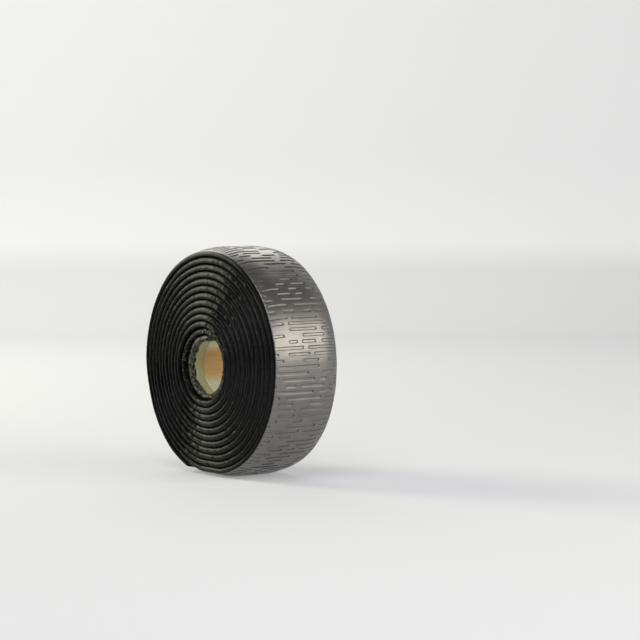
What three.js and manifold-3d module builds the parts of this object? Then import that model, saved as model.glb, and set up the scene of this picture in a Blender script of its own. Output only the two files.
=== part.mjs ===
// A roll of bicycle handlebar tape, standing on its rim.
//
// The tape is one long strip of soft foam, wound on itself with its grip face outwards. The strip
// is thick along its middle and thin at its edges, which curl in a little towards the roll's axis,
// so that the outside of the roll is crowned and a V lies open between neighbouring turns. That V
// is the spiral that shows on both faces. The outer end lies just before the lowest point of the
// rim. The inner end is at the top of the bore, where it steps down to the turn outside it.
// Rows of shallow slots are pressed into the grip face and run across the strip.
//
// An adhesive strip runs along the tape's back, under a narrower release paper. Both are modelled
// where they can be seen: on the innermost turn, whose back lines the bore.
//
// Millimetres, +Z up. The roll's axis runs along Y, and the face that is shown looks to -Y.
// The origin is under the middle of the roll, on the surface that it stands on.

import * as THREE from "three";
import { mergeGeometries } from "three/addons/utils/BufferGeometryUtils.js";
import Module from "manifold-3d";

const { degToRad, radToDeg, lerp, seededRandom } = THREE.MathUtils;

const wasm = await Module();
wasm.setup();

// The strip's section
const TAPE_WIDTH = 30;
const TAPE_THICKNESS = 2.4; // along the middle
const EDGE_THICKNESS = 1.6;
const LAND_WIDTH = 12; // the flat middle, on the grip face and on the back
const EDGE_CURL = 1.2; // how far the back's edges come in towards the roll's axis
const SHOULDER_STEPS = 2; // facets of the rounded shoulder between the land and an edge

// The winding
const TURNS = 12.46;
const TURN_GAP = 0.3; // between one turn's grip face and the next turn's back
const BORE_RADIUS = 10.7; // to the tape's back at its inner end
const TAIL_LIFT = 22; // degrees from the lowest point of the rim, up the left, to the outer end
const TAIL_THICKNESS = 1.5; // of the outer end, which is pressed thin
const TAIL_TAPER = 16; // degrees over which the outer end comes to full thickness
const CORE_PROUD = 4.2; // how far the innermost turn stands out of the shown face
const CORE_SAG = 0.5; // how far the innermost turn hangs below the outermost turn's centre
const FLAT_LENGTH = 13; // the soft roll's flat spot, along the floor
const PRESSED_TURNS = 5; // turns over which the press of the flat spot fades
const FACETS_PER_TURN = 30;

// The slots in the grip face
const ROW_PITCH = 4.8; // twice the real strip's, to keep the solid light
const SLOT_WIDTH = 1.25;
const SLOT_DEPTH = 0.3;
const SLOT_LENGTHS = [5, 19];
const SLOT_SPACES = [2.5, 9];
const SLOT_EDGE_MARGIN = 1.2; // from a slot's end to the strip's edge
const SLOT_SEED = 7;

// The adhesive and its paper
const ADHESIVE_WIDTH = 24.8;
const ADHESIVE_THICKNESS = 0.3;
const PAPER_WIDTH = 17.4;
const PAPER_THICKNESS = 0.15;
const SKIN_CLEARANCE = 0.05; // between each of them and what it lies on
const SKIN_END_GAP = 0.5; // to the step at the tape's inner end

const HALF_WIDTH = TAPE_WIDTH / 2;
const HALF_LAND = LAND_WIDTH / 2;
const GRIP_DROP = TAPE_THICKNESS + EDGE_CURL - EDGE_THICKNESS;

const PITCH = TAPE_THICKNESS + TURN_GAP;
const TRAVEL = 360 * TURNS;
const TAIL_ANGLE = 270 - TAIL_LIFT;
const TAIL_RADIUS = BORE_RADIUS + PITCH * TURNS;

// Levels across the strip, above the land of its back.

// 0 on the land, 1 at the edges.
function towardsEdge(across) {
  return Math.max(0, Math.abs(across) - HALF_LAND) / (HALF_WIDTH - HALF_LAND);
}

function backLevel(across) {
  return -EDGE_CURL * towardsEdge(across);
}

function gripLevel(across) {
  return TAPE_THICKNESS - GRIP_DROP * towardsEdge(across) ** 2;
}

// Radius of the back's land after so many degrees of travel from the outer end, going inwards.
function landRadius(travel) {
  return TAIL_RADIUS - (PITCH * travel) / 360;
}

// The flat spot is one wide facet at the bottom of the outermost turn. The radius falls along
// the spiral, so the whole winding leans a little to bring it level.
const FLAT_TRAVEL = 360 - TAIL_LIFT;
const FLAT_RADIUS = landRadius(FLAT_TRAVEL) + TAPE_THICKNESS;
const FLAT_HALF_ANGLE = radToDeg(Math.asin(FLAT_LENGTH / 2 / FLAT_RADIUS));

// The share of its radius that a turn keeps. Over the flat spot the outermost turn follows a
// chord, and each turn inside it is pressed less.
function pressedShare(travel) {
  const turnsIn = Math.round((travel - FLAT_TRAVEL) / 360);
  const off = Math.abs(travel - FLAT_TRAVEL - 360 * turnsIn);
  if (off >= FLAT_HALF_ANGLE) return 1;
  const chord = Math.cos(degToRad(FLAT_HALF_ANGLE)) / Math.cos(degToRad(off));
  return lerp(chord, 1, Math.min(1, turnsIn / PRESSED_TURNS));
}

// A point of the winding: so far above the back's land and across the strip, after that travel.
function windingPoint(travel, above, across, lean) {
  const angle = degToRad(TAIL_ANGLE - travel + lean);
  const radius = (landRadius(travel) + above) * pressedShare(travel);
  const inward = travel / TRAVEL;
  return new THREE.Vector3(
    radius * Math.cos(angle),
    across - CORE_PROUD * inward,
    radius * Math.sin(angle) - CORE_SAG * inward,
  );
}

function levellingLean() {
  const left = windingPoint(FLAT_TRAVEL + FLAT_HALF_ANGLE, TAPE_THICKNESS, 0, 0);
  const right = windingPoint(FLAT_TRAVEL - FLAT_HALF_ANGLE, TAPE_THICKNESS, 0, 0);
  return -radToDeg(Math.atan2(right.z - left.z, right.x - left.x));
}

const LEAN = levellingLean();

// The travels, from one to another, at which a strip has a section. Every turn has its sections
// at the same angles, so that the gap between the turns is even all round. The turns inside the
// flat spot have one more, in the middle of their pressed stretch.
function sectionTravels(from, to) {
  const step = (360 - 2 * FLAT_HALF_ANGLE) / FACETS_PER_TURN;
  const firstFlat = FLAT_TRAVEL - 360 * Math.ceil((FLAT_TRAVEL - from) / 360);
  const travels = [];
  for (let flat = firstFlat; flat < to; flat += 360) {
    if (flat > FLAT_TRAVEL) travels.push(flat);
    for (let facet = 0; facet <= FACETS_PER_TURN; facet++) {
      travels.push(flat + FLAT_HALF_ANGLE + facet * step);
    }
  }
  const clear = travels.filter((travel) => Math.min(travel - from, to - travel) > step / 4);
  return [from, ...clear, to];
}

// The solid that a section sweeps along the winding, with a section at each travel. A section is
// a closed outline of [across, above] points, counter-clockwise, and has as many points at each.
function sweep(sectionAt, travels) {
  const sections = travels.map(sectionAt);
  const count = sections[0].length;
  const points = travels.flatMap((travel, row) =>
    sections[row].map(([across, above]) => windingPoint(travel, above, across, LEAN)),
  );
  const faces = [];
  for (let row = 0; row + 1 < travels.length; row++) {
    for (let i = 0; i < count; i++) {
      const a = row * count + i;
      const b = row * count + ((i + 1) % count);
      faces.push(a, b, a + count, b, b + count, a + count);
    }
  }
  const last = (travels.length - 1) * count;
  const outline = sections[0].map(([across, above]) => new THREE.Vector2(across, above));
  for (const [a, b, c] of THREE.ShapeUtils.triangulateShape(outline, [])) {
    faces.push(a, c, b, last + a, last + b, last + c);
  }
  const geometry = new THREE.BufferGeometry().setFromPoints(points);
  geometry.setIndex(faces);
  geometry.computeVertexNormals();
  return geometry;
}

function wind(sectionAt, from, to) {
  return sweep(sectionAt, sectionTravels(from, to));
}

// The same places on both sides of the strip's middle, from left to right.
function onBothSides(places) {
  return [...places.map((place) => -place).reverse(), ...places];
}

// Closes an outline from a lower and an upper line, both running left to right.
function closedOutline(lower, upper) {
  return [...lower, ...upper.toReversed()];
}

// The tape: thick land, rounded shoulders, thin edges that curl in, and the thinner outer end.
// Its grip face can be lowered.
function tapeSection(travel, lowered = 0) {
  const intoTail = Math.min(1, travel / TAIL_TAPER);
  const fullness = lerp(TAIL_THICKNESS / TAPE_THICKNESS, 1, intoTail);
  const shoulder = [];
  for (let i = 0; i <= SHOULDER_STEPS; i++) {
    shoulder.push(lerp(HALF_LAND, HALF_WIDTH, i / SHOULDER_STEPS));
  }
  const back = onBothSides([HALF_LAND, HALF_WIDTH]).map((across) => [across, backLevel(across)]);
  const grip = onBothSides(shoulder).map((across) => [
    across,
    lerp(backLevel(across), gripLevel(across), fullness) - lowered,
  ]);
  return closedOutline(back, grip);
}

// A thin skin on the tape's back, so far below it, that follows its land and curl.
function skinSection(width, depth, thickness) {
  const places = [HALF_LAND, width / 2].filter((place) => place <= width / 2);
  const upper = onBothSides(places).map((across) => [across, backLevel(across) - depth]);
  const lower = upper.map(([across, above]) => [across, above - thickness]);
  return closedOutline(lower, upper);
}

// Joining and cutting

function toSolid(geometry) {
  const vertProperties = geometry.attributes.position.array;
  const triVerts = Uint32Array.from(geometry.index.array);
  return new wasm.Manifold(new wasm.Mesh({ numProp: 3, vertProperties, triVerts }));
}

function toGeometry(solid) {
  const { vertProperties, triVerts } = solid.getMesh();
  const geometry = new THREE.BufferGeometry();
  geometry.setAttribute("position", new THREE.BufferAttribute(vertProperties, 3));
  geometry.setIndex(new THREE.BufferAttribute(triVerts, 1));
  geometry.computeVertexNormals();
  return geometry;
}

// The slots

// The [left, right] ends of the slots in one row: lengths and spaces drawn between their limits.
function slotEnds() {
  const [from, to] = [SLOT_EDGE_MARGIN - HALF_WIDTH, HALF_WIDTH - SLOT_EDGE_MARGIN];
  const ends = [];
  let left = from + lerp(0, SLOT_SPACES[1], seededRandom());
  while (left + SLOT_LENGTHS[0] < to) {
    const right = Math.min(to, left + lerp(...SLOT_LENGTHS, seededRandom()));
    ends.push([left, right]);
    left = right + lerp(...SLOT_SPACES, seededRandom());
  }
  return ends;
}

// A block that reaches from the middle of the tape's thickness to well above its grip face.
function slotBlock(left, right, travels) {
  const middle = (across) => (backLevel(across) + gripLevel(across)) / 2;
  const floor = [left, right].map((across) => [across, middle(across)]);
  const roof = floor.map(([across]) => [across, 2 * TAPE_THICKNESS]);
  return sweep(() => closedOutline(floor, roof), travels);
}

// The travel that a length along the grip face takes, near a given travel.
function travelAlong(length, travel) {
  return radToDeg(length / (landRadius(travel) + TAPE_THICKNESS));
}

// Blocks for every row of the outermost turn, between the pressed outer end and the flat spot.
function slotBlocks() {
  seededRandom(SLOT_SEED);
  const blocks = [];
  const last = FLAT_TRAVEL - FLAT_HALF_ANGLE - travelAlong(SLOT_WIDTH, FLAT_TRAVEL);
  for (let travel = TAIL_TAPER; travel < last; travel += travelAlong(ROW_PITCH, travel)) {
    const half = travelAlong(SLOT_WIDTH / 2, travel);
    for (const [left, right] of slotEnds()) {
      blocks.push(slotBlock(left, right, [travel - half, travel + half]));
    }
  }
  return blocks;
}

// What the slots take out of the tape: the blocks, down to a grip face lowered by their depth.
function slotCut() {
  const lowered = wind((travel) => tapeSection(travel, SLOT_DEPTH), 0, FLAT_TRAVEL);
  return toSolid(mergeGeometries(slotBlocks())).subtract(toSolid(lowered));
}

// The pieces

function named(name, geometry, color, roughness) {
  const material = new THREE.MeshStandardMaterial({ color, roughness, metalness: 0 });
  const mesh = new THREE.Mesh(geometry, material);
  mesh.name = name;
  return mesh;
}

function gripTape() {
  const tape = toSolid(wind((travel) => tapeSection(travel), 0, TRAVEL));
  return named("grip_tape", toGeometry(tape.subtract(slotCut())), 0x55554f, 0.45);
}

// The skins line the one turn of the back that is open to the bore. They end at the step where
// the tape's inner end lies on the turn outside it.
const SKINS_FROM = TRAVEL - 360 + radToDeg(SKIN_END_GAP / BORE_RADIUS);

function adhesiveStrip() {
  const section = skinSection(ADHESIVE_WIDTH, SKIN_CLEARANCE, ADHESIVE_THICKNESS);
  return named("adhesive_strip", wind(() => section, SKINS_FROM, TRAVEL), 0xd9cfb0, 0.6);
}

function releasePaper() {
  const depth = SKIN_CLEARANCE + ADHESIVE_THICKNESS + SKIN_CLEARANCE;
  const section = skinSection(PAPER_WIDTH, depth, PAPER_THICKNESS);
  return named("release_paper", wind(() => section, SKINS_FROM, TRAVEL), 0xc49a62, 0.5);
}

const roll = new THREE.Group();
roll.add(gripTape(), adhesiveStrip(), releasePaper());

// Stands the roll on its flat spot, with the origin under its middle.
const extent = new THREE.Box3().setFromObject(roll);
const middle = extent.getCenter(new THREE.Vector3());
roll.position.set(-middle.x, -middle.y, -extent.min.z);

export default roll;
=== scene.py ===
"""A roll of bicycle handlebar tape, dressed for rendering.

The tape is wound from a strip whose section is thick in the middle, rounded at the shoulders and
thin at the edges. Every piece is worked out as whole arrays from the strip's own coordinates: how
far it has travelled along the winding, how far across the strip it is, and how high above its back.
"""

import bpy
import numpy as np
from mathutils import Matrix, Vector


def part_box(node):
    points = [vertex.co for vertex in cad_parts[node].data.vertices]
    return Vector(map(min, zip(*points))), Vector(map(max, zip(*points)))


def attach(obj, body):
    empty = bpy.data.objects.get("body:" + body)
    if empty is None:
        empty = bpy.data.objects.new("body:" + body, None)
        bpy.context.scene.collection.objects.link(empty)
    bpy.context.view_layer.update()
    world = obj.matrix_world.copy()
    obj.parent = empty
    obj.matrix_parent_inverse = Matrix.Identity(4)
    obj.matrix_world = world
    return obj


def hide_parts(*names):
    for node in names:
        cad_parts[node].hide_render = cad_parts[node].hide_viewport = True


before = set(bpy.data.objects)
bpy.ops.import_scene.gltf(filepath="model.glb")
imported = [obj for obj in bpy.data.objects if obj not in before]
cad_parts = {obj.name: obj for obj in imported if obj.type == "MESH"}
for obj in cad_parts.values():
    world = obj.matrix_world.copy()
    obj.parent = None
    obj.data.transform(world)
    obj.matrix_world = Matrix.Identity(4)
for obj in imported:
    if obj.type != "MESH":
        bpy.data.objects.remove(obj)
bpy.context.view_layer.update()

MM = 0.001

# The strip's section, in millimetres
TAPE_WIDTH = 30.0
HALF_WIDTH = TAPE_WIDTH / 2
TAPE_THICKNESS = 2.4
OUTER_EDGE = 1.9  # the edge's thickness on the outermost turn
INNER_EDGE = 2.0  # and on the turns inside
LAND_WIDTH = 12.0  # the flat middle
HALF_LAND = LAND_WIDTH / 2
EDGE_CURL = 1.2  # how far the back curls in at the edges
NOSE_DEPTH = 0.75  # how far in from each edge its rounding begins

# The winding, in millimetres, turns and degrees
TURNS = 12.46
TURN_GAP = 0.3
BORE_RADIUS = 10.7
TAIL_LIFT = 22.0  # degrees from the bottom to the outer end
TAIL_THICKNESS = 1.5
TAIL_TAPER = 16.0  # degrees of travel over which the outer end is pressed thin
CORE_PROUD = 4.2  # how far the inner end stands out past the outer one on the shown face
CORE_SAG = 0.5  # and how far it lies below the middle
CORE_RETREAT = 2.2  # the soft innermost turn and a half slip back from the cone by so much
RETREAT_START = 650.0  # degrees of travel before the inner end
RETREAT_END = 150.0
FLAT_LENGTH = 13.0
PRESSED_TURNS = 5  # turns over which the press of the flat spot fades
OUTER_TURN = 366.0  # degrees of travel that the embossed outer pieces cover
OUTER_PIECES = 3
INNER_PIECES = 4
INNER_STATIONS = 1500  # along each of the inner pieces

# The grip face's columns, in millimetres across: close together at the shoulders
GRIP_REACH = 13.9
SHOULDER_PLACES = (HALF_LAND, 9.0, 10.6, 11.6, 12.3, 12.8, 13.2, 13.6, GRIP_REACH)
OUTER_COLUMNS = 95  # on the outermost turn they are even, and fine enough for the slots
BACK_PLACES = (HALF_LAND, 9.5, 12.0)  # the back is straight and needs fewer
NOSE_MAP = 3.0  # how much of a pattern's width the way round a nose takes

# The embossed slots, in millimetres
ROW_PITCH = 2.42
SLOT_WIDTH = 1.25
SLOT_DEPTH = 0.3
SLOT_WALL = 0.2
SLOT_LENGTHS = (3.5, 19.0)
SLOT_SPACES = (2.0, 9.0)
SHORT_ONES = 1.6  # the power that makes short lengths and spaces more frequent
ROW_START = 12.0  # a row starts up to so far beyond the edge
SLOTS_IN_ROW = 6  # at most
NOWHERE = 99.0  # the place of a slot that its row has no room for
SLOT_SEED = 20
SLOT_RIM = 0.1  # stations lie so far on either side of each wall
STATION_GAP = 0.02  # degrees: none lies closer to a piece's end
SLOT_FADE_START = 13.4  # so far across, the outermost turn's slots start to fade
SLOT_FADE_WIDTH = 0.8
INNER_EMBOSSING = 0.3  # share of the slots' depth that is left on the turns inside

# The unevenness in millimetres: how much, and the length over which it changes
LONG_TRIM, LONG_TRIM_LENGTH = 0.16, 14.0
SHORT_TRIM, SHORT_TRIM_LENGTH = 0.1, 2.7
FUZZ, FRAYED_FUZZ, FUZZ_LENGTH, FUZZ_HEIGHT = 0.1, 0.14, 0.8, 0.4
SWAY, SWAY_TRAVEL = 0.1, 47.0  # this one's length is in degrees of travel
DENT, DENT_LENGTH, DENT_WIDTH = 0.05, 7.0, 9.0
TAUT = 0.2  # share of the short trim and the fuzz that shows on the outermost turn
FRAY_FULL = 1.1  # over 1, so that the fraying starts to fade a little way from the bore
FRAY_TRAVEL = 800.0  # degrees of travel over which it fades

# The film's cut edge on the nose, with its places as shares of the thickness. The paler line along it
# is partly that edge and partly a painted highlight on each turn's crest
FILM_SHARE = 0.95  # the film begins here
CREST_SHARE = 0.975  # and the paler line along its edge lies here
CREST_SPREAD = 0.07
CREST_START = 13.6  # millimetres across
CREST_FADE = 0.3

# The adhesive and its paper, in millimetres
ADHESIVE_WIDTH = 26.6  # squeezed out past its solid's 24.8
ADHESIVE_THICKNESS = 0.3
PAPER_WIDTH = 17.4
PAPER_THICKNESS = 0.15
SKIN_CLEARANCE = 0.05
SKIN_END_GAP = 0.5
SKIN_STATIONS = 300
SKIN_COLUMNS = 25
RAGGED = 0.8  # the adhesive's edge
PAPER_RAGGED = 0.3
LONG_TEARS, LONG_TEARS_LENGTH = 0.7, 1.3  # the first is a share of the ragged amount
SHORT_TEARS, SHORT_TEARS_LENGTH = 0.5, 0.45
PAPER_KINKS = 0.05
KINK_RATE = 5.8  # kinks for each 180 degrees of travel
KINK_START = 10.8
# Where the paper is painted near white: painted glare from light and reflection at the top and bottom
# of the bore
GLARE_START = 24.0  # degrees up or down from the middle of the bore's left side
GLARE_FADE = 26.0

PITCH = TAPE_THICKNESS + TURN_GAP
TRAVEL = 360 * TURNS
TAIL_ANGLE = 270 - TAIL_LIFT
TAIL_RADIUS = BORE_RADIUS + PITCH * TURNS
FLAT_TRAVEL = 360 - TAIL_LIFT


# Colour and noise

LATTICE = 256  # squares along each side of the random lattice, after which it repeats


def linear(hex_colour):
    """Turns an sRGB hex value into linear red, green, blue and an alpha of 1."""
    srgb = [int(hex_colour[i : i + 2], 16) / 255 for i in (1, 3, 5)]
    return [c / 12.92 if c <= 0.04045 else ((c + 0.055) / 1.055) ** 2.4 for c in srgb] + [1.0]


def waver(u, v, seed):
    """Smooth noise from -1 to 1 with features one unit across.

    Random values on a square lattice, joined by the cubic 3t² - 2t³ in both directions. Each
    use has a seed of its own, and a place on the lattice of its own for each edge.
    """
    lattice = np.random.default_rng(seed).uniform(-1, 1, (LATTICE, LATTICE))
    u, v = np.broadcast_arrays(np.asarray(u, float), np.asarray(v, float))
    iu, iv = np.floor(u).astype(int), np.floor(v).astype(int)
    fu, fv = u - iu, v - iv
    fu, fv = fu * fu * (3 - 2 * fu), fv * fv * (3 - 2 * fv)
    a, b, c, d = (
        lattice[(iu + i) % LATTICE, (iv + j) % LATTICE] for i, j in ((0, 0), (1, 0), (0, 1), (1, 1))
    )
    return (a * (1 - fu) + b * fu) * (1 - fv) + (c * (1 - fu) + d * fu) * fv


# The strip and its winding


def land_radius(travel):
    """Radius of the back's land: it falls by one pitch for each 360 degrees of travel."""
    return TAIL_RADIUS - PITCH * travel / 360


FLAT_RADIUS = land_radius(FLAT_TRAVEL) + TAPE_THICKNESS
FLAT_HALF_ANGLE = np.degrees(np.arcsin(FLAT_LENGTH / 2 / FLAT_RADIUS))


def towards_edge(across):
    """0 on the land, rising evenly to 1 at the edges."""
    return np.maximum(0, np.abs(across) - HALF_LAND) / (HALF_WIDTH - HALF_LAND)


def back_level(across):
    """The back lies flat under the land, then curls straight in to the edges."""
    return -EDGE_CURL * towards_edge(across)


def grip_level(across, travel):
    """The grip face is level on the land and falls with the square of the way to the edge.

    It falls to the outer edge's thickness on the outermost turn and, within half a turn more,
    to the inner edge's.
    """
    inside = np.clip((travel - 360) / 180, 0, 1)
    edge = OUTER_EDGE + (INNER_EDGE - OUTER_EDGE) * inside
    return TAPE_THICKNESS - (TAPE_THICKNESS + EDGE_CURL - edge) * towards_edge(across) ** 2


def wound(travel, across, above, lean=0.0):
    """Places on the winding, in millimetres from its axis: arrays in, an array of points out.

    The angle falls with the travel, the radius is the land's plus the height above it, and the
    turns move towards the shown face and down as they go in, except that the innermost turn
    slips back a little, in the cubic 3t² - 2t³ of its travel. Inside the rays of the flat spot
    the radius is the chord's: the cosine of its half angle over the cosine of the way off its
    middle. The turns further in are pressed less.
    """
    travel, across, above = np.broadcast_arrays(travel, across, above)
    off = (travel - FLAT_TRAVEL + 180) % 360 - 180
    near = np.minimum(np.abs(off), FLAT_HALF_ANGLE)
    chord = np.cos(np.radians(FLAT_HALF_ANGLE)) / np.cos(np.radians(near))
    pressed = np.clip(1 - np.round((travel - FLAT_TRAVEL) / 360) / PRESSED_TURNS, 0, 1)
    chord = np.where(np.abs(off) < FLAT_HALF_ANGLE, 1 - pressed * (1 - chord), 1)
    radius = (land_radius(travel) + above) * chord
    angle = np.radians(TAIL_ANGLE - travel + lean)
    inward = travel / TRAVEL
    slip = np.clip((travel - TRAVEL + RETREAT_START) / (RETREAT_START - RETREAT_END), 0, 1)
    proud = CORE_PROUD * inward - CORE_RETREAT * slip * slip * (3 - 2 * slip)
    return np.stack(
        [radius * np.cos(angle), across - proud, radius * np.sin(angle) - CORE_SAG * inward], axis=-1
    )


def levelling_lean():
    """The small turn that brings the outermost flat level, from two points just inside its ends."""
    ends = FLAT_TRAVEL + FLAT_HALF_ANGLE * np.array([0.999, -0.999])
    left, right = wound(ends, 0.0, TAPE_THICKNESS)
    return -np.degrees(np.arctan2(right[2] - left[2], right[0] - left[0]))


LEAN = levelling_lean()


def axis_offset():
    """Where the winding's axis lies in the frame, from the rims of the two outermost turns.

    Sideways their middle is the CAD tape's, their lowest point is on the floor, and from front
    to back the strip lies behind the middle by half of what the inner end stands proud.
    """
    low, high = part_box("grip_tape")
    travel = np.linspace(0, 720, 2881)[:, None]
    across = np.array([-HALF_WIDTH, 0, HALF_WIDTH])[None, :]
    rim = wound(travel, across, grip_level(across, travel), LEAN).reshape(-1, 3)
    middle = (np.array(low) + np.array(high)) / 2 / MM
    offset = middle - (rim.min(0) + rim.max(0)) / 2
    offset[1] = middle[1] + CORE_PROUD / 2
    offset[2] = -rim[:, 2].min()
    return offset


AXIS = axis_offset()


def arc_length(travel):
    """Length along the grip face from the outer end: the integral of the radius over the angle."""
    outer = TAIL_RADIUS + TAPE_THICKNESS
    return np.radians(outer * travel - PITCH * travel**2 / 720)


def travel_at(length):
    """The travel at which the grip face is so long: the root of the quadratic in arc_length."""
    outer = TAIL_RADIUS + TAPE_THICKNESS
    return (outer - np.sqrt(outer**2 - PITCH * np.degrees(length) / 180)) * 360 / PITCH


# Meshes


def swept_mesh(name, points, attributes, closed_ring=True, second_finish=None):
    """A mesh from a grid of points: rows are stations along the winding, columns go round a ring.

    Quads join neighbours in both directions, and a closed ring's two ends are closed by one face
    each. Quads between two columns marked in second_finish take the piece's second material.
    """
    rows, ring = points.shape[:2]
    index = np.arange(rows * ring).reshape(rows, ring)
    turned = np.roll(index, -1, axis=1)
    quads = np.stack([index[:-1], turned[:-1], turned[1:], index[1:]], axis=-1)
    if not closed_ring:
        quads = quads[:, :-1]
    quads = quads.reshape(-1, 4)
    loops = quads.ravel()
    starts = np.arange(len(quads)) * 4
    if closed_ring:
        loops = np.concatenate([loops, index[0][::-1], index[-1]])
        starts = np.append(starts, [len(quads) * 4, len(quads) * 4 + ring])
    mesh = bpy.data.meshes.new(name)
    mesh.vertices.add(rows * ring)
    mesh.vertices.foreach_set("co", ((points.reshape(-1, 3) + AXIS) * MM).astype(np.float32).ravel())
    mesh.loops.add(len(loops))
    mesh.loops.foreach_set("vertex_index", loops.astype(np.int32))
    mesh.polygons.add(len(starts))
    mesh.polygons.foreach_set("loop_start", starts.astype(np.int32))
    mesh.update(calc_edges=True)
    mesh.validate()
    for key, values in attributes.items():
        values = np.broadcast_to(values, (rows, ring)).astype(np.float32)
        mesh.attributes.new(key, "FLOAT", "POINT").data.foreach_set("value", values.ravel())
    mesh.polygons.foreach_set("use_smooth", np.arange(len(mesh.polygons)) < len(quads))
    if second_finish is not None:
        both = second_finish & np.roll(second_finish, -1)
        finish = np.concatenate([np.tile(both, rows - 1), [False, False]])
        mesh.polygons.foreach_set("material_index", finish.astype(np.int32))
    if closed_ring:
        ends = np.empty(len(mesh.edges) * 2, np.int32)
        mesh.edges.foreach_get("vertices", ends)
        ends = ends.reshape(-1, 2)
        sharp = (ends < ring).all(axis=1) | (ends >= (rows - 1) * ring).all(axis=1)
        mesh.attributes.new("sharp_edge", "BOOLEAN", "EDGE").data.foreach_set("value", sharp)
    piece = bpy.data.objects.new(name, mesh)
    bpy.context.scene.collection.objects.link(piece)
    return piece


def add_strip_map(piece, length, across):
    """A UV map in metres along and round the strip, for patterns that follow the surface."""
    uv = np.stack(np.broadcast_arrays(length, across), axis=-1).reshape(-1, 2) * MM
    mesh = piece.data
    corners = np.empty(len(mesh.loops), np.int32)
    mesh.loops.foreach_get("vertex_index", corners)
    layer = mesh.uv_layers.new(name="strip")
    layer.data.foreach_set("uv", uv[corners].astype(np.float32).ravel())


# The tape


def tape_ring(grip_places):
    """The strip's section as a ring, counter-clockwise from the left of the back.

    The back runs left to right, each edge is a rounded nose, and the grip face runs back. A nose
    is half an ellipse that joins the back's level to the grip's. Returns for each point how far
    across it is, and its share of the way from the back to the grip face.
    """
    start = HALF_WIDTH - NOSE_DEPTH
    places = np.array([*BACK_PLACES, start])
    back = np.concatenate([-places[::-1], [0.0], places])
    phi = np.radians(np.linspace(-90, 90, 11))[1:-1]
    bulge = NOSE_DEPTH * np.cos(phi)
    rise = (1 + np.sin(phi)) / 2
    grip = np.concatenate([[start], grip_places[::-1], [-start]])
    across = np.concatenate([back, start + bulge, grip, -start - bulge[::-1]])
    share = np.concatenate([np.zeros(len(back)), rise, np.ones(len(grip)), rise[::-1]])
    return across, share


def slot_rows(count):
    """A made-up layout of slots: for each row, the ends of its slots across the strip.

    Lengths and spaces are drawn between their limits, short ones more often.
    """
    rng = np.random.default_rng(SLOT_SEED)
    shortest, longest = SLOT_LENGTHS
    narrowest, widest = SLOT_SPACES
    ends = np.full((count, SLOTS_IN_ROW, 2), NOWHERE)
    for row in ends:
        place = -HALF_WIDTH - rng.uniform(0, ROW_START)
        for slot in row:
            length = shortest + (longest - shortest) * rng.random() ** SHORT_ONES
            slot[:] = place, place + length
            place += length + narrowest + (widest - narrowest) * rng.random() ** SHORT_ONES
            if place > HALF_WIDTH:
                break
    return ends


def slot_depth(length, across):
    """How deep the embossing is, from 0 to 1.

    A slot is a capsule: the distance to its middle line, less half its width, fades over the
    width of its wall.
    """
    rows = np.maximum(np.floor(length / ROW_PITCH).astype(int), 0)
    ends = slot_rows(rows.max() + 1)[rows[:, 0]]
    from_row = (length / ROW_PITCH - rows - 0.5) * ROW_PITCH
    reach = SLOT_WIDTH / 2
    depth = np.zeros(np.broadcast(length, across).shape)
    for slot in range(ends.shape[1]):
        low, high = ends[:, slot, 0][:, None] + reach, ends[:, slot, 1][:, None] - reach
        beyond = np.maximum(np.maximum(low - across, across - high), 0)
        inside = np.clip((reach - np.hypot(from_row, beyond)) / SLOT_WALL, 0, 1)
        depth = np.maximum(depth, inside)
    return depth * (rows > 0)


def tape_piece(name, travel, grip_places, outermost):
    """One stretch of the tape: the section carried along the winding, with its unevenness.

    The height above the back is the share of the way from the back's level to the grip's, less
    the embossing, which is shallower towards the edges and on the inner turns. The soft edges
    waver sideways, and more so where the tape is frayed, on the turns round the bore.
    """
    across, share = tape_ring(grip_places)
    film = share > FILM_SHARE
    travel = travel[:, None]
    length = arc_length(travel)
    across, share = across[None, :], share[None, :]
    fullness = TAIL_THICKNESS / TAPE_THICKNESS
    fullness = fullness + (1 - fullness) * np.clip(travel / TAIL_TAPER, 0, 1)
    back = back_level(across)
    above = back + (grip_level(across, travel) - back) * fullness * share
    nose = np.clip((np.abs(across) - HALF_WIDTH + NOSE_DEPTH) / NOSE_DEPTH, 0, 1)
    side = np.sign(across)
    loose = TAUT if outermost else 1.0
    fray = np.clip(FRAY_FULL - (TRAVEL - travel) / FRAY_TRAVEL, 0, 1)
    trim = LONG_TRIM * waver(length / LONG_TRIM_LENGTH, side * 3 + 9, 1)
    trim = trim + SHORT_TRIM * loose * waver(length / SHORT_TRIM_LENGTH, side * 5 + 30, 2)
    fuzz = waver(length / FUZZ_LENGTH, above / FUZZ_HEIGHT + side * 40, 3)
    fuzz = loose * (FUZZ + FRAYED_FUZZ * fray) * fuzz * nose
    sway = SWAY * waver(travel / SWAY_TRAVEL, travel / 360, 4)
    slot = slot_depth(length, across) * share**2
    if outermost:
        faded = np.clip((np.abs(across) - SLOT_FADE_START) / SLOT_FADE_WIDTH, 0, 1)
        depth = SLOT_DEPTH * slot * (1 - 0.5 * towards_edge(across) - 0.5 * faded)
    else:
        depth = INNER_EMBOSSING * SLOT_DEPTH * slot
    dents = DENT * waver(length / DENT_LENGTH, across / DENT_WIDTH, 5) * share
    moved = across + side * (trim * towards_edge(across) ** 2 + fuzz) + sway
    points = wound(travel, moved, above - depth + dents, LEAN)
    crest = np.clip(1 - np.abs(share - CREST_SHARE) / CREST_SPREAD, 0, 1)
    crest = crest * np.clip((np.abs(across) - CREST_START) / CREST_FADE, 0, 1)
    layers = {"crest": crest, "fray": fray, "slot": slot}
    piece = swept_mesh(name, points, layers, second_finish=film)
    add_strip_map(piece, length, across + NOSE_MAP * share)
    return piece


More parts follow.
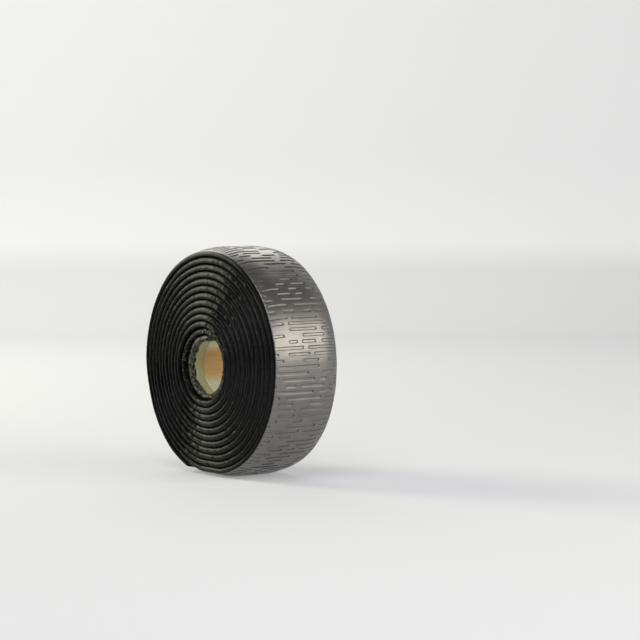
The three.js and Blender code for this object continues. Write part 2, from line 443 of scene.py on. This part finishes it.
def embossed_travel(first, last):
    """Stations of an embossed stretch: nine to a row, close together at the walls of its slots."""
    half = SLOT_WIDTH / 2
    wall = np.array([half + SLOT_RIM, half, half - SLOT_WALL, half - SLOT_WALL - SLOT_RIM])
    in_row = np.concatenate([[-ROW_PITCH / 2], -wall, wall[::-1]]) + ROW_PITCH / 2
    rows = np.ceil(arc_length(OUTER_TURN) / ROW_PITCH)
    travel = travel_at((np.arange(rows)[:, None] * ROW_PITCH + in_row[None, :]).ravel())
    inside = travel[(travel > first + STATION_GAP) & (travel < last - STATION_GAP)]
    return np.concatenate([[first], inside, [last]])


# The skins on the back of the innermost turn


def skin_piece(name, width, depth, thickness, ragged, kinks):
    """A thin strip on the tape's back, lining the turn that is open to the bore.

    Its upper side follows the back's level at a given depth, its lower side is one thickness
    below. The edges waver by the ragged amount, and stiff paper bends at kinks along its length,
    where a sine of the travel passes through zero.
    """
    start = TRAVEL - 360 + np.degrees(SKIN_END_GAP / BORE_RADIUS)
    travel = np.linspace(start, TRAVEL, SKIN_STATIONS)[:, None]
    places = np.linspace(-1, 1, SKIN_COLUMNS) * width / 2
    ring = np.concatenate([places, places[::-1]])[None, :]
    lower = np.concatenate([np.ones(SKIN_COLUMNS), np.zeros(SKIN_COLUMNS)])[None, :]
    length = np.radians(travel * BORE_RADIUS)
    edge = (np.abs(ring) / (width / 2)) ** 6
    side = np.sign(ring)
    tears = LONG_TEARS * waver(length / LONG_TEARS_LENGTH, side * 4 + 9, 7)
    tears = tears + SHORT_TEARS * waver(length / SHORT_TEARS_LENGTH, side * 4 + 50, 8)
    across = ring - side * edge * (ragged + ragged * tears)
    bend = kinks * (1 - np.abs(np.sin(np.radians(travel * KINK_RATE + KINK_START)))) ** 3
    above = back_level(across) - depth - thickness * lower - bend * (0.5 + 0.5 * lower)
    # The share of painted glare, which grows away from the middle of the bore's left side
    off = np.abs((TAIL_ANGLE - travel) % 360 - 180)
    pale = np.clip((off - GLARE_START) / GLARE_FADE, 0, 1)
    piece = swept_mesh(name, wound(travel, across, above, LEAN), {"pale": pale, "kink": bend})
    add_strip_map(piece, length, across)
    return piece


# Materials


def node(tree, kind, inputs=None, **settings):
    """Adds one node, applies its settings, and sets or links its inputs by name or number."""
    made = tree.nodes.new(kind)
    for key, value in settings.items():
        setattr(made, key, value)
    for key, value in (inputs or {}).items():
        socket = made.inputs[key]
        if isinstance(value, bpy.types.NodeSocket):
            tree.links.new(value, socket)
        else:
            socket.default_value = value
    return made


def new_material(name):
    """An empty material and its tree, with the shader and the output joined."""
    material = bpy.data.materials.new(name)
    material.use_nodes = True
    tree = material.node_tree
    tree.nodes.clear()
    shader = node(tree, "ShaderNodeBsdfPrincipled")
    node(tree, "ShaderNodeOutputMaterial", {"Surface": shader.outputs["BSDF"]})
    return material, tree, shader


def embossed_film(name, low, high, roughness, metallic):
    """Satin polyurethane film, heat embossed: a metallic anthracite with a soft broad gloss.

    Fine streaks run across the strip, as the rollers left them, and are drawn coarser than they
    are, so that they show. Its tone is a little uneven, between a low and a high colour, and the
    walls of the slots are painted darker, as painted shade.
    """
    material, tree, shader = new_material(name)
    depth = node(tree, "ShaderNodeAttribute", attribute_name="slot").outputs["Fac"]
    place = node(tree, "ShaderNodeTexCoord").outputs["Object"]
    strip = node(tree, "ShaderNodeUVMap", uv_map="strip").outputs["UV"]
    mottle = node(tree, "ShaderNodeTexNoise", {"Vector": place, "Scale": 1 / (6 * MM), "Detail": 3.0})
    drawn = node(tree, "ShaderNodeMapping", {"Vector": strip, "Scale": (1.0, 0.05, 1.0)})
    streaks = node(
        tree,
        "ShaderNodeTexNoise",
        {"Vector": drawn.outputs["Vector"], "Scale": 1 / (0.5 * MM), "Detail": 4.0},
    )
    tone = node(
        tree,
        "ShaderNodeMix",
        {0: 0.5, 2: mottle.outputs["Fac"], 3: streaks.outputs["Fac"]},
        data_type="FLOAT",
    )
    spread = node(
        tree, "ShaderNodeMapRange", {"Value": tone.outputs[0], "From Min": 0.3, "From Max": 0.7}
    )
    colour = node(
        tree,
        "ShaderNodeMix",
        {0: spread.outputs["Result"], 6: linear(low), 7: linear(high)},
        data_type="RGBA",
    )
    # The walls of the slots are painted darker, towards #1c1c1c: painted shade in the slots
    rest = node(tree, "ShaderNodeMath", {0: 1.0, 1: depth}, operation="SUBTRACT")
    wall = node(tree, "ShaderNodeMath", {0: depth, 1: rest.outputs["Value"]}, operation="MULTIPLY")
    share = node(
        tree,
        "ShaderNodeMapRange",
        {"Value": wall.outputs["Value"], "From Max": 0.25, "To Max": 0.75},
    )
    painted_wall_shade = node(
        tree,
        "ShaderNodeMix",
        {0: share.outputs["Result"], 6: colour.outputs[2], 7: linear("#1c1c1c")},
        data_type="RGBA",
    )
    gloss = node(
        tree,
        "ShaderNodeMapRange",
        {"Value": spread.outputs["Result"], "To Min": roughness + 0.04, "To Max": roughness - 0.04},
    )
    grain = node(
        tree,
        "ShaderNodeBump",
        {"Height": streaks.outputs["Fac"], "Strength": 0.12, "Distance": 0.25 * MM},
    )
    tree.links.new(painted_wall_shade.outputs[2], shader.inputs["Base Color"])
    tree.links.new(gloss.outputs["Result"], shader.inputs["Roughness"])
    tree.links.new(grain.outputs["Normal"], shader.inputs["Normal"])
    shader.inputs["Metallic"].default_value = metallic
    return material


def skived_foam():
    """Black closed-cell EVA foam, skived at the edges: the blade left it combed along the strip,
    so its dull gloss spreads across each turn and shows in two sectors, above and below the bore.

    Its cells make it rough, and are drawn coarser than they are, so that they show. A thin broken
    paler line along each turn is partly the film's cut edge and partly a painted highlight on the
    crest, and near the bore the edge is frayed into flecks.
    """
    material, tree, shader = new_material("skived_closed_cell_foam")
    crest = node(tree, "ShaderNodeAttribute", attribute_name="crest").outputs["Fac"]
    fray = node(tree, "ShaderNodeAttribute", attribute_name="fray").outputs["Fac"]
    place = node(tree, "ShaderNodeTexCoord").outputs["Object"]
    cells = node(tree, "ShaderNodeTexNoise", {"Vector": place, "Scale": 1 / (0.6 * MM), "Detail": 3.0})
    flecks = node(tree, "ShaderNodeTexNoise", {"Vector": place, "Scale": 1 / (1.0 * MM), "Detail": 4.0})
    foam = node(
        tree,
        "ShaderNodeMix",
        {0: cells.outputs["Fac"], 6: linear("#020303"), 7: linear("#090b0c")},
        data_type="RGBA",
    )
    # A thin broken paler line, #474844, along each turn's crest: partly the film's cut edge, partly a
    # painted highlight
    broken = node(
        tree, "ShaderNodeMapRange", {"Value": cells.outputs["Fac"], "From Min": 0.38, "From Max": 0.62}
    )
    line = node(tree, "ShaderNodeMath", {0: crest, 1: broken.outputs["Result"]}, operation="MULTIPLY")
    lined = node(
        tree,
        "ShaderNodeMix",
        {0: line.outputs["Value"], 6: foam.outputs[2], 7: linear("#474844")},
        data_type="RGBA",
    )
    limit = node(tree, "ShaderNodeMapRange", {"Value": fray, "To Min": 0.75, "To Max": 0.36})
    limit_end = node(tree, "ShaderNodeMath", {0: limit.outputs["Result"], 1: 0.3}, operation="ADD")
    fleck = node(
        tree,
        "ShaderNodeMapRange",
        {
            "Value": flecks.outputs["Fac"],
            "From Min": limit.outputs["Result"],
            "From Max": limit_end.outputs["Value"],
        },
    )
    colour = node(
        tree,
        "ShaderNodeMix",
        {0: fleck.outputs["Result"], 6: lined.outputs[2], 7: linear("#7c7c72")},
        data_type="RGBA",
    )
    strip = node(tree, "ShaderNodeUVMap", uv_map="strip").outputs["UV"]
    combed = node(tree, "ShaderNodeMapping", {"Vector": strip, "Scale": (0.15, 1.0, 1.0)})
    comb = node(
        tree,
        "ShaderNodeTexNoise",
        {"Vector": combed.outputs["Vector"], "Scale": 1 / (0.5 * MM), "Detail": 3.0},
    )
    height = node(
        tree,
        "ShaderNodeMix",
        {0: 0.65, 2: cells.outputs["Fac"], 3: comb.outputs["Fac"]},
        data_type="FLOAT",
    )
    grain = node(
        tree, "ShaderNodeBump", {"Height": height.outputs[0], "Strength": 0.4, "Distance": 0.3 * MM}
    )
    tree.links.new(colour.outputs[2], shader.inputs["Base Color"])
    tree.links.new(grain.outputs["Normal"], shader.inputs["Normal"])
    along = node(tree, "ShaderNodeTangent", direction_type="UV_MAP", uv_map="strip")
    tree.links.new(along.outputs["Tangent"], shader.inputs["Tangent"])
    shader.inputs["Anisotropic"].default_value = 0.85
    shader.inputs["Anisotropic Rotation"].default_value = 0.25
    shader.inputs["Roughness"].default_value = 0.37
    shader.inputs["Specular IOR Level"].default_value = 0.11
    return material


def tacky_adhesive():
    """Pale hot-melt adhesive: waxy, slightly cloudy, with a soft low gloss."""
    material, tree, shader = new_material("pale_hot_melt_adhesive")
    place = node(tree, "ShaderNodeTexCoord").outputs["Object"]
    cloud = node(tree, "ShaderNodeTexNoise", {"Vector": place, "Scale": 1 / (2 * MM), "Detail": 3.0})
    colour = node(
        tree,
        "ShaderNodeMix",
        {0: cloud.outputs["Fac"], 6: linear("#b4b183"), 7: linear("#d6d3ab")},
        data_type="RGBA",
    )
    tree.links.new(colour.outputs[2], shader.inputs["Base Color"])
    shader.inputs["Roughness"].default_value = 0.55
    return material


def kraft_release_paper():
    """Calendered kraft paper with a release coat: tan, faintly fibrous, with a low sheen.

    The fibres are drawn coarser than they are, so that they show. At the top and bottom of the bore
    the paper is painted near white as painted glare, and the kinks are painted a little darker as
    painted shade.
    """
    material, tree, shader = new_material("tan_kraft_release_paper")
    pale = node(tree, "ShaderNodeAttribute", attribute_name="pale").outputs["Fac"]
    kink = node(tree, "ShaderNodeAttribute", attribute_name="kink").outputs["Fac"]
    strip = node(tree, "ShaderNodeUVMap", uv_map="strip").outputs["UV"]
    stretch = node(tree, "ShaderNodeMapping", {"Vector": strip, "Scale": (1.0, 0.2, 1.0)})
    fibres = node(
        tree,
        "ShaderNodeTexNoise",
        {"Vector": stretch.outputs["Vector"], "Scale": 1 / (0.8 * MM), "Detail": 4.0},
    )
    blotches = node(tree, "ShaderNodeTexNoise", {"Vector": strip, "Scale": 1 / (4 * MM), "Detail": 3.0})
    # Painted glare: the paper is painted near white, #f8f4e2, in blotches at the top and bottom of the
    # bore
    painted_glare = node(tree, "ShaderNodeMath", {0: pale, 1: blotches.outputs["Fac"]}, operation="MULTIPLY")
    share = node(tree, "ShaderNodeMapRange", {"Value": painted_glare.outputs["Value"], "From Max": 0.4})
    # The kinks are painted darker, towards #b98a4e: painted shade in the creases
    creased = node(tree, "ShaderNodeMapRange", {"Value": kink, "From Max": 0.15, "To Max": 0.5})
    tan = node(
        tree,
        "ShaderNodeMix",
        {0: fibres.outputs["Fac"], 6: linear("#e2b674"), 7: linear("#f2cc92")},
        data_type="RGBA",
    )
    painted_kink_shade = node(
        tree,
        "ShaderNodeMix",
        {0: creased.outputs["Result"], 6: tan.outputs[2], 7: linear("#b98a4e")},
        data_type="RGBA",
    )
    colour = node(
        tree,
        "ShaderNodeMix",
        {0: share.outputs["Result"], 6: painted_kink_shade.outputs[2], 7: linear("#f8f4e2")},
        data_type="RGBA",
    )
    tree.links.new(colour.outputs[2], shader.inputs["Base Color"])
    shader.inputs["Roughness"].default_value = 0.5
    return material


# The pieces

shoulder = np.array(SHOULDER_PLACES)
inner_places = np.concatenate([-shoulder[::-1], shoulder])
outer_places = np.linspace(-GRIP_REACH, GRIP_REACH, OUTER_COLUMNS)
cuts = np.linspace(0, OUTER_TURN, OUTER_PIECES + 1)
inner_cuts = np.linspace(OUTER_TURN, TRAVEL, INNER_PIECES + 1)

tape_pieces = [
    tape_piece(f"tape_outer_turn_{i + 1}", embossed_travel(cuts[i], cuts[i + 1]), outer_places, True)
    for i in range(OUTER_PIECES)
]
tape_pieces += [
    tape_piece(
        f"tape_inner_turns_{i + 1}",
        np.linspace(inner_cuts[i], inner_cuts[i + 1], INNER_STATIONS),
        inner_places,
        False,
    )
    for i in range(INNER_PIECES)
]
adhesive = skin_piece(
    "adhesive_lining", ADHESIVE_WIDTH, SKIN_CLEARANCE, ADHESIVE_THICKNESS, RAGGED, 0.0
)
paper_depth = 2 * SKIN_CLEARANCE + ADHESIVE_THICKNESS
paper = skin_piece(
    "paper_lining", PAPER_WIDTH, paper_depth, PAPER_THICKNESS, PAPER_RAGGED, PAPER_KINKS
)

foam = skived_foam()
film = embossed_film("embossed_polyurethane_film", "#757473", "#898885", 0.35, 0.82)
# On the turns inside, the same film is drawn nearly black and without metal: painted shade between the
# turns
shaded_film_copy = embossed_film("polyurethane_film_painted_shade", "#080808", "#121211", 0.42, 0.0)
for piece, finishes, slot_name, cad_node in (
    *((piece, (foam, film), "grip_foam", "grip_tape") for piece in tape_pieces[:OUTER_PIECES]),
    *((piece, (foam, shaded_film_copy), "grip_foam", "grip_tape") for piece in tape_pieces[OUTER_PIECES:]),
    (adhesive, (tacky_adhesive(),), "adhesive", "adhesive_strip"),
    (paper, (kraft_release_paper(),), "kraft_paper", "release_paper"),
):
    for finish in finishes:
        piece.data.materials.append(finish)
    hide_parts(cad_node)
    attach(piece, "root")


# The studio

# The camera as fitted to the photograph, with distances in millimetres
CAMERA_AZIMUTH = np.radians(52.62)
CAMERA_ELEVATION = np.radians(3.83)
CAMERA_DISTANCE = 1000.0
FOCAL_PIXELS = 2549.5
AIM_RIGHT = 31.1  # the photograph's middle lies so far right of the winding's axis
AIM_UP = 16.6  # and so far above it
PHOTO_SIDE = 640  # pixels
ROLL_MIDDLE = 0.045  # metres above the floor

# The backdrop, in metres: a level floor, a quarter circle and a wall behind
COVE_RADIUS = 0.12
COVE_START = 0.72
WALL_TOP = 1.9
FLOOR_AHEAD = 5.0
HALF_SPREAD = 5.0

# How much lighter the eye sees the backdrop than the lamps make it, with distances in metres
WALL_GLOW = 0.37
WALL_FOOT = 0.06  # the height at which the wall's glow is full
FLOOR_GLOW = 0.7  # times the wall's, on the floor about the roll
GLOW_PLACE = (0.1, 1.0, 0.0)  # the middle of that floor
GLOW_REACH = (1.45, 1.9)  # its glow fades between these distances from there
FAR_GLOW = 2.2  # times the wall's, on ground that the lamps don't reach
FAR_REACH = (1.0, 2.2)  # it grows between these distances from the roll
FAR_HEIGHT = (0.4, 0.8)  # and fades between these heights

BACK = Vector(
    (
        np.sin(CAMERA_AZIMUTH) * np.cos(CAMERA_ELEVATION),
        -np.cos(CAMERA_AZIMUTH) * np.cos(CAMERA_ELEVATION),
        np.sin(CAMERA_ELEVATION),
    )
)
RIGHT = Vector((np.cos(CAMERA_AZIMUTH), np.sin(CAMERA_AZIMUTH), 0))
UP = BACK.cross(RIGHT)


def add_camera():
    """Looks along the photograph's direction, aimed beside the roll as the photograph is."""
    camera = bpy.data.cameras.new("camera")
    camera.sensor_width = 36
    camera.lens = FOCAL_PIXELS * camera.sensor_width / PHOTO_SIDE
    camera.clip_start, camera.clip_end = 0.05, 20
    holder = bpy.data.objects.new("camera", camera)
    aim = Vector(AXIS) + RIGHT * AIM_RIGHT + UP * AIM_UP
    turn = Matrix((RIGHT, UP, BACK)).transposed().to_4x4()
    holder.matrix_world = Matrix.Translation((aim + BACK * CAMERA_DISTANCE) * MM) @ turn
    bpy.context.scene.collection.objects.link(holder)
    bpy.context.scene.camera = holder


def backdrop_glow(tree):
    """The backdrop's own light: on the wall, on the floor about the roll, and far from the roll.

    Only camera, glossy and transmission rays see it, so it doesn't light the roll, and the
    roll's shadow stays soft. The strongest of the three counts at each place.
    """
    place = node(tree, "ShaderNodeTexCoord").outputs["Object"]
    height = node(tree, "ShaderNodeSeparateXYZ", {"Vector": place}).outputs["Z"]
    wall = node(tree, "ShaderNodeMapRange", {"Value": height, "From Max": WALL_FOOT})
    reach = node(tree, "ShaderNodeVectorMath", {0: place, 1: GLOW_PLACE}, operation="DISTANCE")
    floor = node(
        tree,
        "ShaderNodeMapRange",
        {
            "Value": reach.outputs["Value"],
            "From Min": GLOW_REACH[0],
            "From Max": GLOW_REACH[1],
            "To Min": FLOOR_GLOW,
            "To Max": 0.0,
        },
    )
    near = node(
        tree,
        "ShaderNodeMath",
        {0: floor.outputs["Result"], 1: wall.outputs["Result"]},
        operation="MAXIMUM",
    )
    from_roll = node(tree, "ShaderNodeVectorMath", {0: place}, operation="LENGTH")
    far = node(
        tree,
        "ShaderNodeMapRange",
        {
            "Value": from_roll.outputs["Value"],
            "From Min": FAR_REACH[0],
            "From Max": FAR_REACH[1],
            "To Max": FAR_GLOW,
        },
    )
    low = node(
        tree,
        "ShaderNodeMapRange",
        {
            "Value": height,
            "From Min": FAR_HEIGHT[0],
            "From Max": FAR_HEIGHT[1],
            "To Min": 1.0,
            "To Max": 0.0,
        },
    )
    ground = node(
        tree,
        "ShaderNodeMath",
        {0: far.outputs["Result"], 1: low.outputs["Result"]},
        operation="MULTIPLY",
    )
    pale = node(
        tree,
        "ShaderNodeMath",
        {0: near.outputs["Value"], 1: ground.outputs["Value"]},
        operation="MAXIMUM",
    )
    rays = node(tree, "ShaderNodeLightPath").outputs
    direct = node(
        tree,
        "ShaderNodeMath",
        {0: rays["Is Camera Ray"], 1: rays["Is Glossy Ray"]},
        operation="ADD",
    )
    seen = node(
        tree,
        "ShaderNodeMath",
        {0: direct.outputs["Value"], 1: rays["Is Transmission Ray"]},
        operation="ADD",
    )
    glow = node(
        tree,
        "ShaderNodeMath",
        {0: pale.outputs["Value"], 1: seen.outputs["Value"]},
        operation="MULTIPLY",
    )
    level = node(
        tree, "ShaderNodeMath", {0: glow.outputs["Value"], 1: WALL_GLOW}, operation="MULTIPLY"
    )
    return level.outputs["Value"]


def backdrop_paper():
    """Matt white background paper: even, with no sheen of its own, and a little glow."""
    material, tree, shader = new_material("matt_backdrop_paper")
    tree.links.new(backdrop_glow(tree), shader.inputs["Emission Strength"])
    shader.inputs["Emission Color"].default_value = (1, 1, 1, 1)
    shader.inputs["Base Color"].default_value = linear("#c0c2c8")
    shader.inputs["Roughness"].default_value = 0.9
    shader.inputs["Specular IOR Level"].default_value = 0.1
    return material


def add_backdrop():
    """A pale floor that sweeps up into a wall behind, as one sheet on a grid.

    The profile is level, then a quarter circle, then upright, carried sideways.
    """
    away = np.array(-Vector((BACK.x, BACK.y, 0)).normalized())
    turn = np.linspace(0, np.pi / 2, 24)
    out = COVE_START + COVE_RADIUS * np.sin(turn)
    out = np.concatenate([[-FLOOR_AHEAD], out, [COVE_START + COVE_RADIUS]])
    up = np.concatenate([[0.0], COVE_RADIUS * (1 - np.cos(turn)), [WALL_TOP]])
    side = np.array([-HALF_SPREAD, HALF_SPREAD])
    points = out[:, None, None] * away + side[None, :, None] * np.array(RIGHT)
    points[..., 2] = up[:, None]
    sheet = swept_mesh("backdrop", points / MM - AXIS, {}, closed_ring=False)
    sheet.data.materials.append(backdrop_paper())


def add_lamp(name, direction, distance, size, watts, colour):
    """A soft box, so wide and high in metres, that shines on the roll's middle from a direction."""
    light = bpy.data.lights.new(name, "AREA")
    light.shape = "RECTANGLE"
    light.size, light.size_y = size
    light.energy = watts
    light.color = linear(colour)[:3]
    holder = bpy.data.objects.new(name, light)
    towards = Vector(direction).normalized()
    holder.location = Vector((0, 0, ROLL_MIDDLE)) + towards * distance
    holder.rotation_mode = "QUATERNION"
    holder.rotation_quaternion = towards.to_track_quat("Z", "Y")
    bpy.context.scene.collection.objects.link(holder)


def add_world():
    """A dim, slightly cool room, which keeps the film's dark bands from going black."""
    world = bpy.data.worlds.new("studio")
    world.use_nodes = True
    background = world.node_tree.nodes["Background"]
    background.inputs["Color"].default_value = linear("#dce8ff")
    background.inputs["Strength"].default_value = 0.08
    bpy.context.scene.world = world


add_camera()
add_backdrop()
add_world()
# The highlight across the middle of the film, the one along its top, the sheen on the spiral
# face, and the light on the floor and in the bore
add_lamp("side_box", (0.88, 0.35, 0.35), 0.9, (1.0, 0.46), 6.1, "#fff7ec")
add_lamp("left_box", (-0.76, 0.355, 0.545), 0.9, (0.8, 0.35), 2.6, "#fffaf2")
add_lamp("face_box", (-0.77, -0.42, 0.36), 0.9, (0.35, 0.5), 6.2, "#ffffdc")
add_lamp("front_box", (0.42, -0.48, 0.77), 0.95, (0.7, 0.7), 3.7, "#ffffff")
bpy.context.scene.view_settings.view_transform = "Standard"
